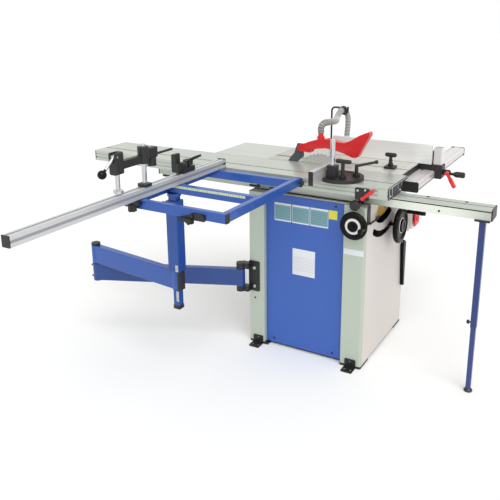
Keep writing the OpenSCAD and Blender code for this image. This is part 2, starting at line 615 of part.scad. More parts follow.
// Outrigger frame tubes
module frame_side_tubes() color([0.27, 0.41, 0.70]) for (x = [-472, -30])
  translate([x, frame_y0 + tube_w + 0.02, frame_z0])
    along_y((x < -100 ? -345 : car_y0 - 4) - frame_y0 - tube_w) tube2(tube_w, tube_h, 3, 2.5);
module frame_cross_tubes() color([0.27, 0.41, 0.70]) {
  translate([-472, frame_y0, frame_z0]) along_x(442 + tube_w) tube2(tube_w, tube_h, 3, 2.5);
  for (y = [-670, -375])
    translate([-472 + tube_w, y, frame_z0]) along_x(442 - tube_w) tube2(30, tube_h, 3, 2.5);
}
module frame_fittings() color([0.10, 0.10, 0.10]) {
  for (x = [-476, -30 + tube_w])
    translate([x, frame_y0, frame_z0]) along_x(4) plate2(tube_w, tube_h, 3);
  translate([-30 - 3, car_y0 - 4, frame_z0 - 8]) along_y(4) plate2(tube_w + 6, tube_h + 2, 3);
  for (x = [-225, -120]) {
    translate([x, car_y0 - 34, car_z0 + 14]) cube([26, 34, 14]);
    translate([x, -345, frame_z0 + 4]) cube([26, 345 + car_y0 - 30, 18]);
    translate([x + 13, car_y0 - 22, car_z0 - 14]) cylinder(r = 7, h = 30);
    translate([x - 34, car_y0 - 26, car_z0 - 14]) linear_extrude(8) plate2(56, 12, 5.9);
  }
  translate([-205, frame_y0 - 16, frame_z0 - 12]) along_y(16) plate2(60, 14, 6);
  translate([-150, frame_y0 - 10, frame_z0 + 12]) pin_y(9, 10);
  translate([-100, frame_y0 - 10, frame_z0 + 12]) pin_y(9, 10);
  translate([-160, frame_y0 - 14, frame_z0 - 16]) pin_y(7, 14);
  translate([-150, frame_y0 - 5, frame_z0 - 4]) along_y(5) plate2(60, 28, 6);
  translate([-178, frame_y0 - 8, frame_z0 - 20]) along_y(8) plate2(36, 30, 6);
  translate([-456, frame_y0 - 24, frame_z0 + 22]) cube([72, 24, 14]);
  translate([-420, frame_y0 - 17.3, frame_z0 - 6]) knob(17, 28);
  translate([fence_x, -360, table_h]) cylinder(r = 13, h = 2 - gap);
  translate([fence_x, -360, table_h]) cylinder(r = 3.9, h = 8);
  translate([fence_x, frame_y0 + tube_w / 2, table_h]) cylinder(r = 10, h = 2 - gap);
}

// Cross-cut fence extrusion
fence_x = -411;
fence_z = table_h + 2;
module crosscut_fence() color([0.80, 0.81, 0.81]) difference() {
  translate([fence_x - fence_w / 2, -314 - fence_l, 0]) along_y(fence_l) difference() {
    translate([0, fence_z]) plate2(fence_w, fence_h, 2);
    translate([3, fence_z + 12]) plate2(fence_w - 6, fence_h - 24, 2);
    for (z = [fence_z - 1, fence_z + fence_h - 8]) {
      translate([fence_w / 2 - 4, z]) square([8, 9]);
      translate([fence_w / 2 - 8, z + (z < fence_z ? 5 : 0)]) square([16, 4]);
    }
    translate([fence_w - 3, fence_z + fence_h / 2 - 5]) square([4, 10]);
  }
}
module fence_fittings() color([0.10, 0.10, 0.10]) {
  for (y = [-314, -318 - fence_l])
    translate([fence_x - fence_w / 2, y, fence_z]) along_y(4) plate2(fence_w, fence_h, 3);
  translate([fence_x - 22, -884, fence_z + fence_h]) linear_extrude(12) plate2(44, 40, 5);
}
module clamp_post() color([0.75, 0.76, 0.78])
  translate([fence_x, -864, fence_z + fence_h + 12]) cylinder(r = 10, h = 1080 - fence_z - fence_h - 12);

// Flip stop: slider on the fence and its finger
module stop_slider() color([0.10, 0.10, 0.10]) {
  difference() {
    union() {
      translate([fence_x - 20, -636, fence_z + fence_h + gap]) cube([40, 82, 22]);
      translate([fence_x - 16, -636, fence_z + fence_h + gap]) along_y(36) plate2(32, 44, 10);
    }
    translate([fence_x, -660, fence_z + fence_h + 28]) pin_y(6, 62);
  }
  translate([fence_x, -576, fence_z + fence_h + 20]) cylinder(r = 6, h = 30);
  translate([fence_x, -576, fence_z + fence_h + 28]) knob(21, 20);
}
module stop_finger() color([0.62, 0.63, 0.64]) {
  difference() {
    translate([fence_x - 18, -668, fence_z + fence_h + 10]) along_y(31.5) plate2(36, 78, 8);
    translate([fence_x + 4, -670, fence_z + fence_h + 50]) cube([20, 40, 60]);
  }
  translate([fence_x, -640, fence_z + fence_h + 28]) pin_y(5.95, 36);
}

// Hold-down clamp
module clamp_arm() color([0.10, 0.10, 0.10]) difference() {
  union() {
    translate([fence_x, -864, 1004]) cylinder(r = 22, h = 66);
    translate([fence_x - 11, -1000, 1008]) cube([22, 120, 30]);
    translate([fence_x - 18, -1036, 992]) along_y(40) plate2(36, 84, 8);
    translate([fence_x - 13, -848, 1018]) cube([26, 56, 40]);
    translate([fence_x - 6, -794, 1025]) pin_y(5, 118);
    translate([fence_x, -815, 985]) cylinder(r = 18, h = 34);
  }
  translate([fence_x, -864, 1000]) cylinder(r = 10 + gap, h = 74);
  translate([fence_x, -1016, 980]) cylinder(r = 9 + gap, h = 68);
  translate([fence_x - 8, -1046, 1041]) cube([16, 34, 46]);
  translate([fence_x - 20, -1026, 1060]) pin_x(5.05, 40);
}
module clamp_spindle() color([0.72, 0.73, 0.75]) translate([fence_x, -1016, 0]) {
  translate([0, 0, 922]) cylinder(r = 20, h = 10);
  translate([0, 0, 930]) cylinder(r = 9, h = 106);
}
module clamp_lever() color([0.55, 0.56, 0.58]) translate([fence_x, -1026, 1060]) {
  translate([-17, 0, 0]) pin_x(5, 34);
  translate([-7, 0, 0]) pin_x(9, 14);
  rotate([128, 0, 0]) cylinder(r = 6, h = 76);
  rotate([128, 0, 0]) translate([0, 0, 86]) sphere(17);
}

// Mitre gauge: round head, fence, post with T handle and bent lever
mitre_c = [157, -245];
module mitre_head() color([0.10, 0.10, 0.10]) difference() {
  union() {
    translate([mitre_c[0], mitre_c[1], table_h + gap]) cylinder(r = 97, h = 14.7, $fn = 96);
    translate([180, -286, table_h + 14]) cylinder(r = 8, h = 78);
    translate([155, -286, table_h + 88]) pin_x(9, 55);
    for (x = [155, 210]) translate([x, -286, table_h + 88]) sphere(9);
    translate([180, -286, table_h + 14]) cylinder(r = 15, h = 16);
    translate([112, -304, table_h + 14]) linear_extrude(52) plate2(42, 40, 5);
  }
  translate([0, -400, table_h - 1]) cube([104.02, 300, 30]);
  translate([mitre_c[0], mitre_c[1], table_h - 1]) rotate([0, 0, 0]) linear_extrude(30)
    arc2(66, 76, 20, 110);
  translate([131, -284, table_h + 10]) cylinder(r = 11.02, h = 60);
}
module mitre_fence() color([0.80, 0.81, 0.81]) translate([84, -418, 0]) along_y(303) difference() {
  translate([0, table_h + 2]) plate2(20, 59, 1.5);
  translate([3, table_h + 6]) plate2(11, 22, 2);
  translate([3, table_h + 33]) plate2(11, 22, 2);
  translate([16, table_h + 42]) square([5, 8]);
}
module mitre_post() color([0.75, 0.76, 0.78]) translate([131, -284, 0]) {
  translate([0, 0, table_h + 16]) cylinder(r = 11, h = 161);
}
module mitre_lever() color([0.10, 0.10, 0.10]) {
  translate([218, -225, table_h + 15.3]) cylinder(r = 16, h = 12);
  translate([218, -225, table_h + 26]) cylinder(r = 8, h = 34);
  translate([218, -225, table_h + 60]) sphere(8);
  translate([218, -225, table_h + 60]) rotate([0, 90, 66]) cylinder(r = 6, h = 120);
  translate([218 + 120 * cos(66), -225 + 120 * sin(66), table_h + 60]) sphere(9);
}

// Tilting cradle: end plates, sector, tie bar and guide rods
module cradle2() {
  polygon([[-28, 718], [60, 745], [150, 790], [150, 822], [228, 822], [228, 600], [190, 586], [90, 586],
    [shaft_y + 24, shaft_z - 14], [shaft_y, shaft_z - 24], [shaft_y - 24, shaft_z - 6], [-12, 690]]);
}
module tilt_cradle() color([0.35, 0.36, 0.37]) difference() {
  union() {
    translate([214, 0, 0]) along_x(12) difference() {
      cradle2();
      translate([140, 700]) circle(45);
      translate([130, 640]) plate2(40, 70, 8);
    }
    difference() {
      translate([214, 0, 0]) along_x(46) tilt2(86, 161, -47, 2);
      for (i = [0:11]) translate([236, 0, 0]) along_x(30) tilt2(156, 164, -46 + i * 4, -44 + i * 4);
    }
    translate([259, 0, 0]) along_x(8) tilt2(88, 112, -46, 1);
    translate([-260, 0, 0]) along_x(12) union() {
      tilt2(86, 161, -47, 2);
      polygon([[30, 742], [150, 790], [150, 822], [228, 822], [228, 600], [190, 586], [120, 586]]);
    }
    translate([-267, 0, 0]) along_x(8) tilt2(88, 112, -46, 1);
    translate([-249, 205, 735]) cube([464, 20, 50]);
    for (z = [588, 804]) {
      translate([-249, 104, z]) cube([90, 32, 18]);
      translate([144, 104, z]) cube([71, 32, 18]);
    }
    translate([126, shaft_y - 16, 622]) cube([89, 32, 16]);
    for (x = [-180, 165]) translate([x, 120, 592]) cylinder(r = 12, h = 226);
  }
  translate([200, shaft_y, shaft_z]) pin_x(8 + gap, 40);
  translate([142, shaft_y, 610]) cylinder(r = 7 + gap, h = 40);
}
module height_wheel() color([0.10, 0.10, 0.10]) translate([0, shaft_y, shaft_z]) {
  translate([156, 0, 0]) pin_x(8, 176);
  translate([151, 0, 0]) rotate([0, 90, 0]) cylinder(r1 = 7, r2 = 14, h = 8);
  translate([158.9, 0, 0]) pin_x(14, 8);
  translate([325, 0, 0]) rotate([0, 90, 0]) handwheel(86, 25, 141, 98);
}
module rise_screw() color([0.60, 0.61, 0.63]) translate([142, shaft_y, 0]) {
  translate([0, 0, 609]) cylinder(r = 7, h = 190);
  translate([0, 0, 611]) cylinder(r1 = 7, r2 = 13, h = 8);
}

// Rising arbor housing with motor seat and knife bracket
module arbor_housing() color([0.42, 0.43, 0.44]) difference() {
  union() {
    translate([arbor_x, -22, arbor_z]) pin_y(38, 180);
    translate([-226, 100, 690]) cube([412, 40, 80]);
    for (x = [-180, 165]) translate([x, 120, 690]) cylinder(r = 21, h = 80);
    translate([122, 30, 712]) cube([40, 72, 32]);
    translate([-226, -28, 720]) cube([18, 130, 44]);
    translate([-226, -30.6, 726]) cube([30, 20, 32]);
    translate([30, 100, 676]) cube([40, 40, 16]);
  }
  translate([arbor_x, -30, arbor_z]) pin_y(15 + gap, 200);
  for (x = [-180, 165]) translate([x, 120, 680]) cylinder(r = 12 + gap, h = 100);
  translate([142, shaft_y, 700]) cylinder(r = 7 + gap, h = 60);
  translate([motor_x, 6, motor_z]) pin_y(63.02, 154);
}
module motor() color([0.22, 0.23, 0.25]) translate([motor_x, 0, motor_z]) difference() {
  union() {
    translate([0, 12, 0]) pin_y(56, 146);
    translate([0, 100, 0]) pin_y(63, 40);
    for (i = [0:11]) rotate([0, i * 30, 0]) translate([54, 14, -3]) cube([7, 84, 6]);
    translate([-20, 40, -74]) cube([40, 70, 24]);
  }
  translate([0, 60, 0]) pin_y(12 + gap, 110);
}
module belt2(r) {
  hull() {
    circle(arbor_pulley_r + r, $fn = 32);
    translate([motor_x - arbor_x, motor_z - arbor_z]) circle(motor_pulley_r + r, $fn = 32);
  }
}
module drive_belt() color([0.08, 0.08, 0.08])
  translate([arbor_x, 170, arbor_z]) along_y(16) difference() {
    belt2(5);
    belt2(0);
  }
module motor_pulley() color([0.55, 0.56, 0.58]) translate([motor_x, 0, motor_z]) {
  translate([0, 62, 0]) pin_y(12, 128);
  translate([0, 169, 0]) pin_y(motor_pulley_r - 0.8, 18);
}
module arbor() color([0.55, 0.56, 0.58]) translate([arbor_x, 0, arbor_z]) {
  translate([0, blade_y - 14, 0]) pin_y(11, 40);
  translate([0, blade_y + 8, 0]) pin_y(15, 210 - blade_y - 22);
  translate([0, blade_y + blade_t / 2 + 0.02, 0]) pin_y(28, 6);
  translate([0, blade_y - blade_t / 2 - 6.02, 0]) pin_y(28, 6);
  translate([0, blade_y - 16, 0]) rotate([-90, 0, 0]) cylinder(r = 13, h = 9, $fn = 6);
  translate([0, 169, 0]) pin_y(arbor_pulley_r - 0.8, 18);
}
module saw_blade() color([0.70, 0.71, 0.72])
translate([arbor_x, blade_y - blade_t / 2, arbor_z]) difference() {
  along_y(blade_t) difference() {
    polygon([for (i = [0:47], j = [0:2])
      let(a = i * 7.5 + [0, 1.6, 2.2][j], r = blade_d / 2 - [0, 0.6, 8][j]) r * [cos(a), sin(a)]]);
    circle(11.02);
    for (i = [0:5]) rotate(i * 60) translate([blade_d / 2 - 22, 0]) circle(3);
  }
}

// Riving knife behind the blade, guard hung at its top
knife_r = blade_d / 2 + 6;
module riving_knife() color([0.58, 0.59, 0.60]) difference() {
  translate([arbor_x, blade_y - 1.4, arbor_z]) along_y(2.8) difference() {
    union() {
      arc2(knife_r, knife_r + 42, 128, 182);
      translate([-191, -37]) square([26, 48]);
      polygon([[-128, 194], [-125, 197], [-97, 197], [-94, 194], [-92, 130], [-150, 130]]);
    }
    circle(knife_r);
    translate([-92, 100]) square([100, 100]);
  }
  translate([-140, blade_y - 4, 948]) pin_y(5 + gap, 8);
}
module guard2() {
  polygon([[-152, 930], [-152, 946], [-133, 958], [-104, 971], [-51, 989], [-7, 995], [27, 992],
    [58, 986], [86, 985], [113, 997], [155, 1025], [199, 1045], [206, 1042], [208, 1030], [190, 996],
    [172, 964], [155, 930], [146, 922], [127, 921], [86, 936], [39, 947], [-7, 952], [-50, 946],
    [-80, 937], [-84, 924], [-139, 926]]);
}
module blade_guard() color([0.83, 0.12, 0.12]) {
  translate([-140, blade_y - 20, 948]) pin_y(5, 40);
  guard_body();
}
module guard_body() difference() {
  union() {
    translate([0, blade_y - 19, 0]) along_y(38) guard2();
    translate([-40, blade_y, 980]) cylinder(r = 13, h = 38);
    translate([-40, blade_y, 980]) cylinder(r = 17.5, h = 24);
    translate([-140, blade_y - 22, 948]) pin_y(8, 44);
  }
  translate([-60, blade_y - 7, 900]) cube([215, 14, 78]);
  translate([-190, blade_y - 3, 900]) cube([135, 6, 82]);
  translate([-40, blade_y, 970]) cylinder(r = 11, h = 60);
  translate([100, blade_y - 12, 935]) cube([40, 24, 50]);
}

// Tilt handwheel with its shaft and worm
module tilt_wheel() color([0.10, 0.10, 0.10]) translate([252, 0, 694]) {
  translate([0, -345, 0]) pin_y(8, 385);
  translate([0, -80, 0]) pin_y(14, 102);
  translate([0, -314, 0]) rotate([90, 0, 0]) handwheel(62, 22, 0, 60);
}

// Rip fence: saddle over the rail, column, plate and lever
module rip_saddle() color([0.10, 0.10, 0.10]) {
  difference() {
    union() {
      translate([table_x1 + 2, rip_y + 6, rip_seat - 27]) cube([94, 56, 27]);
      translate([table_x1 + 78 + gap, rip_y + 6, 804]) along_y(56) plate2(34, rip_seat - 804, 6);
      translate([table_x1 + 6, rip_y + 14 + gap, rip_seat - 4]) along_x(60) plate2(30, 66, 4);
      translate([table_x1 + 106, rip_y + 28, 822]) along_y(12) plate2(40, 24, 8);
    }
    translate([table_x1 + 134, rip_y + 20, 834]) pin_y(5.05, 30);
    translate([table_x1 + 70, rip_y, 797]) cube([8 + gap, 70, 45 + gap]);
  }
  translate([table_x1 + 96, rip_y + 44, 826]) pin_x(7, 70);
  translate([table_x1 + 160, rip_y + 44, 826]) rotate([0, 90, 0]) rotate_extrude()
    polygon([[0, 0], [10, 0], [12, 6], [14, 12], [14, 46], [10, 51], [0, 51]]);
}
module rip_column() color([0.80, 0.81, 0.81]) translate([428, rip_y + 14.5, rip_seat]) linear_extrude(78.5)
  difference() {
    plate2(40, 47.5, 4);
    translate([4, 4]) plate2(32, 18, 3);
    translate([4, 26]) plate2(32, 18, 3);
    translate([-1, 20]) square([3, 8]);
  }
module fence_plate() color([0.82, 0.83, 0.83]) translate([424 - rip_l, 0, 0]) along_x(rip_l) difference() {
  translate([rip_y, rip_z]) plate2(14, rip_h, 2);
  translate([rip_y + 3, rip_z + 4]) plate2(8, rip_h / 2 - 8, 2);
  translate([rip_y + 3, rip_z + rip_h / 2]) plate2(8, rip_h / 2 - 8, 2);
  translate([rip_y + 11.5, rip_z + rip_h / 2 - 3]) square([4, 6]);
}
module rip_lever() color([0.83, 0.12, 0.12]) translate([table_x1 + 134, rip_y + 3, 834]) {
  pin_y(9, 24);
  pin_y(5, 33);
  rotate([0, 58, 0]) translate([4, 2, -5]) along_y(20) plate2(70, 10, 4.9);
}

cabinet_shell();
base_frame();
access_panel();
main_table();
table_insert();
rear_table();
guide_beam();
beam_fittings();
leg_tube();
rip_rail();
rail_fittings();
trunnions();
dust_port();
hose_rod();
guard_hose();
switch_box();
arm_bracket();
slot_stop();
lock_knob();
leg_foot();
stop_button();
push_stick();
inner_arm();
outer_arm();
support_post();
ball_cages();
carriage_table();
carriage_fittings();
lock_lever();
frame_side_tubes();
frame_cross_tubes();
frame_fittings();
crosscut_fence();
fence_fittings();
clamp_post();
stop_slider();
stop_finger();
clamp_arm();
clamp_lever();
clamp_spindle();
mitre_head();
mitre_fence();
mitre_post();
mitre_lever();
tilt_cradle();
height_wheel();
rise_screw();
arbor_housing();
motor();
drive_belt();
riving_knife();
saw_blade();
arbor();
motor_pulley();
blade_guard();
tilt_wheel();
rip_saddle();
rip_column();
fence_plate();
rip_lever();
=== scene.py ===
import json
import math

import bmesh
import bpy
from mathutils import Matrix, Vector


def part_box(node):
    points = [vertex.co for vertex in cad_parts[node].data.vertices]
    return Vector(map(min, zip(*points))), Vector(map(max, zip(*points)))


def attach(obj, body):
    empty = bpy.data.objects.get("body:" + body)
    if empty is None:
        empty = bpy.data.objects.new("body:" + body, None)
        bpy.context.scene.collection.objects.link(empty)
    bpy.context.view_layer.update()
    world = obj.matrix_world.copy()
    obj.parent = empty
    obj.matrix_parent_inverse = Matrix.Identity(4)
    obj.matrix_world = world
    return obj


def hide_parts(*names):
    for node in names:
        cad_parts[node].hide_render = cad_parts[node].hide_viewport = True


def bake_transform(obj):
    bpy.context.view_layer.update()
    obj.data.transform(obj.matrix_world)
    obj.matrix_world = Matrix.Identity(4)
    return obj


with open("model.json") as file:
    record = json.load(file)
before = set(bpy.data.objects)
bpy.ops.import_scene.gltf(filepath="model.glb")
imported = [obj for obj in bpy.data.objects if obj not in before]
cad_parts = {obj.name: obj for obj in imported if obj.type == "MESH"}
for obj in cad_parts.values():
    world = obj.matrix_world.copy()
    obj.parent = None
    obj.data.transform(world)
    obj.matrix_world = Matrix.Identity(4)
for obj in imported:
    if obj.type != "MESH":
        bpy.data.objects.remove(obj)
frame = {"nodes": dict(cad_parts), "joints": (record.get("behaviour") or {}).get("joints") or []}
nodes = frame["nodes"]
joints = {joint["name"]: joint for joint in frame["joints"]}
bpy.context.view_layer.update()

# Picture: a level product view from the operator's left, on a plain pale floor.
# One wide soft sun and an even white surround, so that the floor keeps a faint shadow.
camera_place = (1.2118, -2.7760, 1.5740)
camera_heading, camera_tip, camera_roll = 29.45, 74.30, -0.25
sun_tip, sun_heading, sun_spread = 40, 42, 50
shown_white, lighting_white = 1.0, 0.72
floor_reach = 40000
floor_drop = 0.0003
fine_share, cloud_share = 0.45, 0.55
cloud_scale, relief_depth = 3.1, 0.001

scene = bpy.context.scene
scene.view_settings.view_transform = "Standard"
lens = bpy.data.cameras.new("photo_lens")
lens.sensor_width = 36
lens.lens = 46.9
lens.shift_x = -0.0316
lens.shift_y = -0.1143
camera = bpy.data.objects.new("photo_camera", lens)
camera.matrix_world = (
    Matrix.Translation(camera_place)
    @ Matrix.Rotation(math.radians(camera_heading), 4, "Z")
    @ Matrix.Rotation(math.radians(camera_tip), 4, "X")
    @ Matrix.Rotation(math.radians(camera_roll), 4, "Z")
)
scene.collection.objects.link(camera)
scene.camera = camera

lamp = bpy.data.lights.new("soft_sun", "SUN")
lamp.energy = 1.7
lamp.angle = math.radians(sun_spread)
sun = bpy.data.objects.new("soft_sun", lamp)
sun.rotation_euler = (math.radians(sun_tip), 0, math.radians(sun_heading))
scene.collection.objects.link(sun)


class Field:
    """A shader value that adds, scales and compares like a number."""

    def __init__(self, tree, socket=None):
        self.tree = tree
        self.socket = socket

    def node(self, kind, settings=None, inputs=None, output=0):
        made = self.tree.nodes.new("ShaderNode" + kind)
        for key, value in (settings or {}).items():
            setattr(made, key, value)
        for key, value in (inputs or {}).items():
            if isinstance(value, Field):
                self.tree.links.new(value.socket, made.inputs[key])
            else:
                made.inputs[key].default_value = value
        return Field(self.tree, made.outputs[output])

    def math(self, operation, *values):
        return self.node("Math", {"operation": operation}, dict(enumerate(values)))

    def __add__(self, other):
        return self.math("ADD", self, other)

    __radd__ = __add__

    def __sub__(self, other):
        return self.math("SUBTRACT", self, other)

    def __rsub__(self, other):
        return self.math("SUBTRACT", other, self)

    def __mul__(self, other):
        return self.math("MULTIPLY", self, other)

    __rmul__ = __mul__

    def __lt__(self, other):
        return self.math("LESS_THAN", self, other)

    def __gt__(self, other):
        return self.math("GREATER_THAN", self, other)

    def __mod__(self, other):
        return self.math("FLOORED_MODULO", self, other)

    def __rmod__(self, other):
        return self.math("FLOORED_MODULO", other, self)

    def either(self, other):
        return self.math("MAXIMUM", self, other)

    def within(self, low, high):
        return (self > low) * (self < high)

    def between(self, first, second):
        return self.node("Mix", {"data_type": "RGBA"}, {0: self, 6: first, 7: second}, 2)

    def stretched(self, by):
        return self.node("VectorMath", {"operation": "MULTIPLY"}, {0: self, 1: by})

    def noise(self, scale, detail=3):
        return self.node("TexNoise", None, {"Vector": self, "Scale": scale, "Detail": detail}, "Fac")

    def axes(self):
        split = self.node("SeparateXYZ", None, {0: self})
        parts = split.socket.node.outputs
        return [Field(self.tree, parts[k]) for k in range(3)]


surround = bpy.data.worlds.new("white_surround")
surround.use_nodes = True
scene.world = surround
sky = Field(surround.node_tree)
seen = [sky.node("LightPath", None, None, f"Is {ray} Ray") for ray in ("Camera", "Glossy", "Transmission")]
shown = sky.node("Background", None, {"Color": (1, 1, 1, 1), "Strength": shown_white})
light = sky.node("Background", None, {"Color": (1, 1, 1, 1), "Strength": lighting_white})
mixed = sky.node("MixShader", None, {0: seen[0].either(seen[1]).either(seen[2]), 1: light, 2: shown})
surround.node_tree.links.new(mixed.socket, surround.node_tree.nodes["World Output"].inputs[0])


def linear(level):
    """A screen's colour level, 0 to 255, in linear light."""
    return (level / 255 + 0.055) ** 2.4 / 1.055**2.4 if level > 10 else level / 3294.6


def tone(red, green, blue):
    """A colour as a screen shows it, in linear light."""
    return (linear(red), linear(green), linear(blue), 1)


def finish(name, colour, worn, rough=0.5, metal=0.0, grain=(90,) * 3, spread=0.1, relief=0.05, clear=0.0):
    """A surface whose slow clouding and fine grain shift its colour, roughness and relief."""
    material = bpy.data.materials.new(name)
    material.use_nodes = True
    skin = material.node_tree.nodes["Principled BSDF"]
    place = Field(material.node_tree).node("TexCoord", None, None, "Object")
    fine = place.stretched(grain).noise(1.0)
    cloud = place.noise(cloud_scale, 2)
    wear = fine * fine_share + cloud * cloud_share
    relieved = wear.node("Bump", None, {"Strength": relief, "Distance": relief_depth, "Height": fine})
    skin.inputs["Metallic"].default_value = metal
    skin.inputs["Coat Weight"].default_value = clear
    for key, value in (
        ("Base Color", wear.between(colour, worn)),
        ("Roughness", wear * spread + (rough - spread / 2)),
        ("Normal", relieved),
    ):
        material.node_tree.links.new(value.socket, skin.inputs[key])
    return material


def made(name, mesh_work, surface, body=None, slot=None, smooth=40):
    """Turns mesh work in millimetres into a piece with its surface, on the body it moves with."""
    bmesh.ops.recalc_face_normals(mesh_work, faces=mesh_work.faces)
    mesh = bpy.data.meshes.new(name)
    mesh_work.to_mesh(mesh)
    mesh_work.free()
    mesh.transform(Matrix.Scale(0.001, 4))
    mesh.materials.append(surface)
    mesh.polygons.foreach_set("use_smooth", [True] * len(mesh.polygons))
    mesh.set_sharp_from_angle(angle=math.radians(smooth))
    piece = bpy.data.objects.new(name, mesh)
    scene.collection.objects.link(piece)
    if body:
        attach(piece, body)
    return piece


pale = finish("floor_paper", tone(247, 247, 246), tone(251, 251, 250), 0.9, grain=(4,) * 3, relief=0.0)
paper = bmesh.new()
bmesh.ops.create_grid(paper, x_segments=6, y_segments=6, size=floor_reach)
floor = made("floor", paper, pale)
floor.location.z = -floor_drop

# Dust hose: grey spiral-ribbed hose from the guard's spigot over the hook down to the dust port.
# Wound plastic strip, pushed over both spigots. It is built as three stretches, split at the first ribs
# behind two places along Y near the guard.
hose_route = [
    (-40, -32, 1018.3), (-40, -32, 1032), (-40, -32, 1044), (-38, -24, 1055), (-37, -4, 1061),
    (-39, 24, 1060), (-50, 110, 1050), (-74, 220, 1036), (-112, 318, 1034), (-130, 385, 1044),
    (-135, 428, 1056), (-132, 454, 1061), (-124, 472, 1046), (-116, 480, 1012), (-116, 481, 965),
    (-120, 481, 910), (-122, 481, 830), (-122, 480, 730), (-122, 472, 645), (-122, 446, 570),
    (-122, 406, 512), (-122, 374, 484), (-122, 360, 462), (-122, 360, 446), (-122, 360, 430.7),
]
hose_ribs = 150
hose_sides = 24
rib_radii = (13.2, 15.2, 16.0, 15.2)
curve_steps = 12
lift_reach, rise_reach = 40, 75
hose_shade_back, hose_shade_low, hose_shade_gain = 0.47, 0.9, 0.9
sling_low, sling_near, sling_far = 1040, 432, 462
sling_lip, sling_radius = 16.6, 17.6


def smooth_line(route, steps):
    """Points along an even curve through every point of the route."""
    spots = [Vector(p) for p in route]
    ends = [spots[0]] + spots + [spots[-1]]
    line = []
    for i in range(len(spots) - 1):
        a, b, c, d = ends[i : i + 4]
        square, cube = 2 * a - 5 * b + 4 * c - d, 3 * b - a - 3 * c + d
        for k in range(steps):
            t = k / steps
            line.append((2 * b + (c - a) * t + square * t**2 + cube * t**3) / 2)
    return line + [spots[-1]]


def spaced(line, count):
    """The same line as count equal steps."""
    run = [0.0]
    for a, b in zip(line, line[1:]):
        run.append(run[-1] + (b - a).length)
    out, i = [], 0
    for k in range(count + 1):
        want = run[-1] * k / count
        while i < len(line) - 2 and run[i + 1] < want:
            i += 1
        share = (want - run[i]) / (run[i + 1] - run[i])
        out.append(line[i].lerp(line[i + 1], share))
    return out


def circle(around):
    """Cosine and sine of equal steps around a full turn."""
    return [(math.cos(2 * math.pi * k / around), math.sin(2 * math.pi * k / around)) for k in range(around)]


def swept(mesh_work, line, radii, around=20):
    """A round closed tube along the line, with a radius at each point."""
    side = (line[1] - line[0]).orthogonal().normalized()
    rings = []
    for i, point in enumerate(line):
        ahead = (line[min(i + 1, len(line) - 1)] - line[max(i - 1, 0)]).normalized()
        side = (side - ahead * side.dot(ahead)).normalized()
        other = ahead.cross(side)
        spots = [point + radii[i] * (c * side + s * other) for c, s in circle(around)]
        rings.append([mesh_work.verts.new(spot) for spot in spots])
    for a, b in zip(rings, rings[1:]):
        for k in range(around):
            mesh_work.faces.new((a[k], a[(k + 1) % around], b[(k + 1) % around], b[k]))
    mesh_work.faces.new(rings[0])
    mesh_work.faces.new(rings[-1])


def overlaid(surface, colour, where):
    """Paints over the part of a surface that a test on its place, in metres, picks out."""
    skin = surface.node_tree.nodes["Principled BSDF"]
    ground = Field(surface.node_tree, skin.inputs["Base Color"].links[0].from_socket)
    mask = where(*ground.node("TexCoord", None, None, "Object").axes())
    surface.node_tree.links.new(mask.between(ground, colour).socket, skin.inputs["Base Color"])
    return surface


rib_steps = len(rib_radii)
hose_line = spaced(smooth_line(hose_route, curve_steps), hose_ribs * rib_steps)
hose_rib = finish("hose_rib", tone(206, 205, 200), tone(188, 187, 183), 0.35, grain=(300,) * 3, clear=0.4)
hose_web = finish("hose_web", tone(112, 112, 110), tone(94, 94, 92), 0.5, grain=(300,) * 3, relief=0.1)


def hose_shade(x, y, z):
    """Darker towards the guard, where the hose lies over the table."""
    return (hose_shade_back - y) * hose_shade_gain * (z > hose_shade_low)


for strip in (hose_rib, hose_web):
    overlaid(strip, tone(96, 96, 94), hose_shade)


def hose_stretch(name, first, last):
    """A length of the hose, from one rib to another."""
    work = bmesh.new()
    span = range(first, last + 1)
    swept(work, [hose_line[i] for i in span], [rib_radii[i % rib_steps] for i in span], hose_sides)
    stretch = made(name, work, hose_rib, smooth=80)
    stretch.data.materials.append(hose_web)
    for face in stretch.data.polygons:
        face.material_index = 1 if face.index // hose_sides % rib_steps in (0, rib_steps - 1) else 0
    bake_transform(stretch)
    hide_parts("guard_hose")
    return stretch


def first_rib_past(y):
    """The first rib, as a step of the hose's line, at or behind a place along Y."""
    return next(i for i in range(0, len(hose_line), rib_steps) if hose_line[i].y >= y)


lift_end, rise_end = first_rib_past(lift_reach), first_rib_past(rise_reach)
guard_end = hose_stretch("hose_guard_end", 0, lift_end)
bridge = hose_stretch("hose_bridge", lift_end, rise_end)
hose = hose_stretch("ribbed_hose", rise_end, len(hose_line) - 1)
hose_path = [p * 0.001 for p in hose_line[rise_end:]]
hose_length = sum((b - a).length for a, b in zip(hose_path, hose_path[1:]))
sling = bmesh.new()
sling_line = [p for p in hose_line if p.z > sling_low and sling_near < p.y < sling_far]
sling_radii = [sling_lip] + [sling_radius] * (len(sling_line) - 2) + [sling_lip]
swept(sling, sling_line, sling_radii, hose_sides)
sling_black = finish("sling_plastic", tone(26, 26, 26), tone(34, 34, 34), grain=(400,) * 3, relief=0.1)
made("hose_sling", sling, sling_black, "base", "black_plastic")


# Cabinet: folded and welded sheet steel in cream paint on a black plinth ring with anchor brackets.
# A blue screwed panel closes the front between two corner columns, and bare plates are glued to both.
def corners(name):
    """The lowest and the highest corner of a CAD node, in millimetres."""
    return [corner * 1000 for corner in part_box(name)]


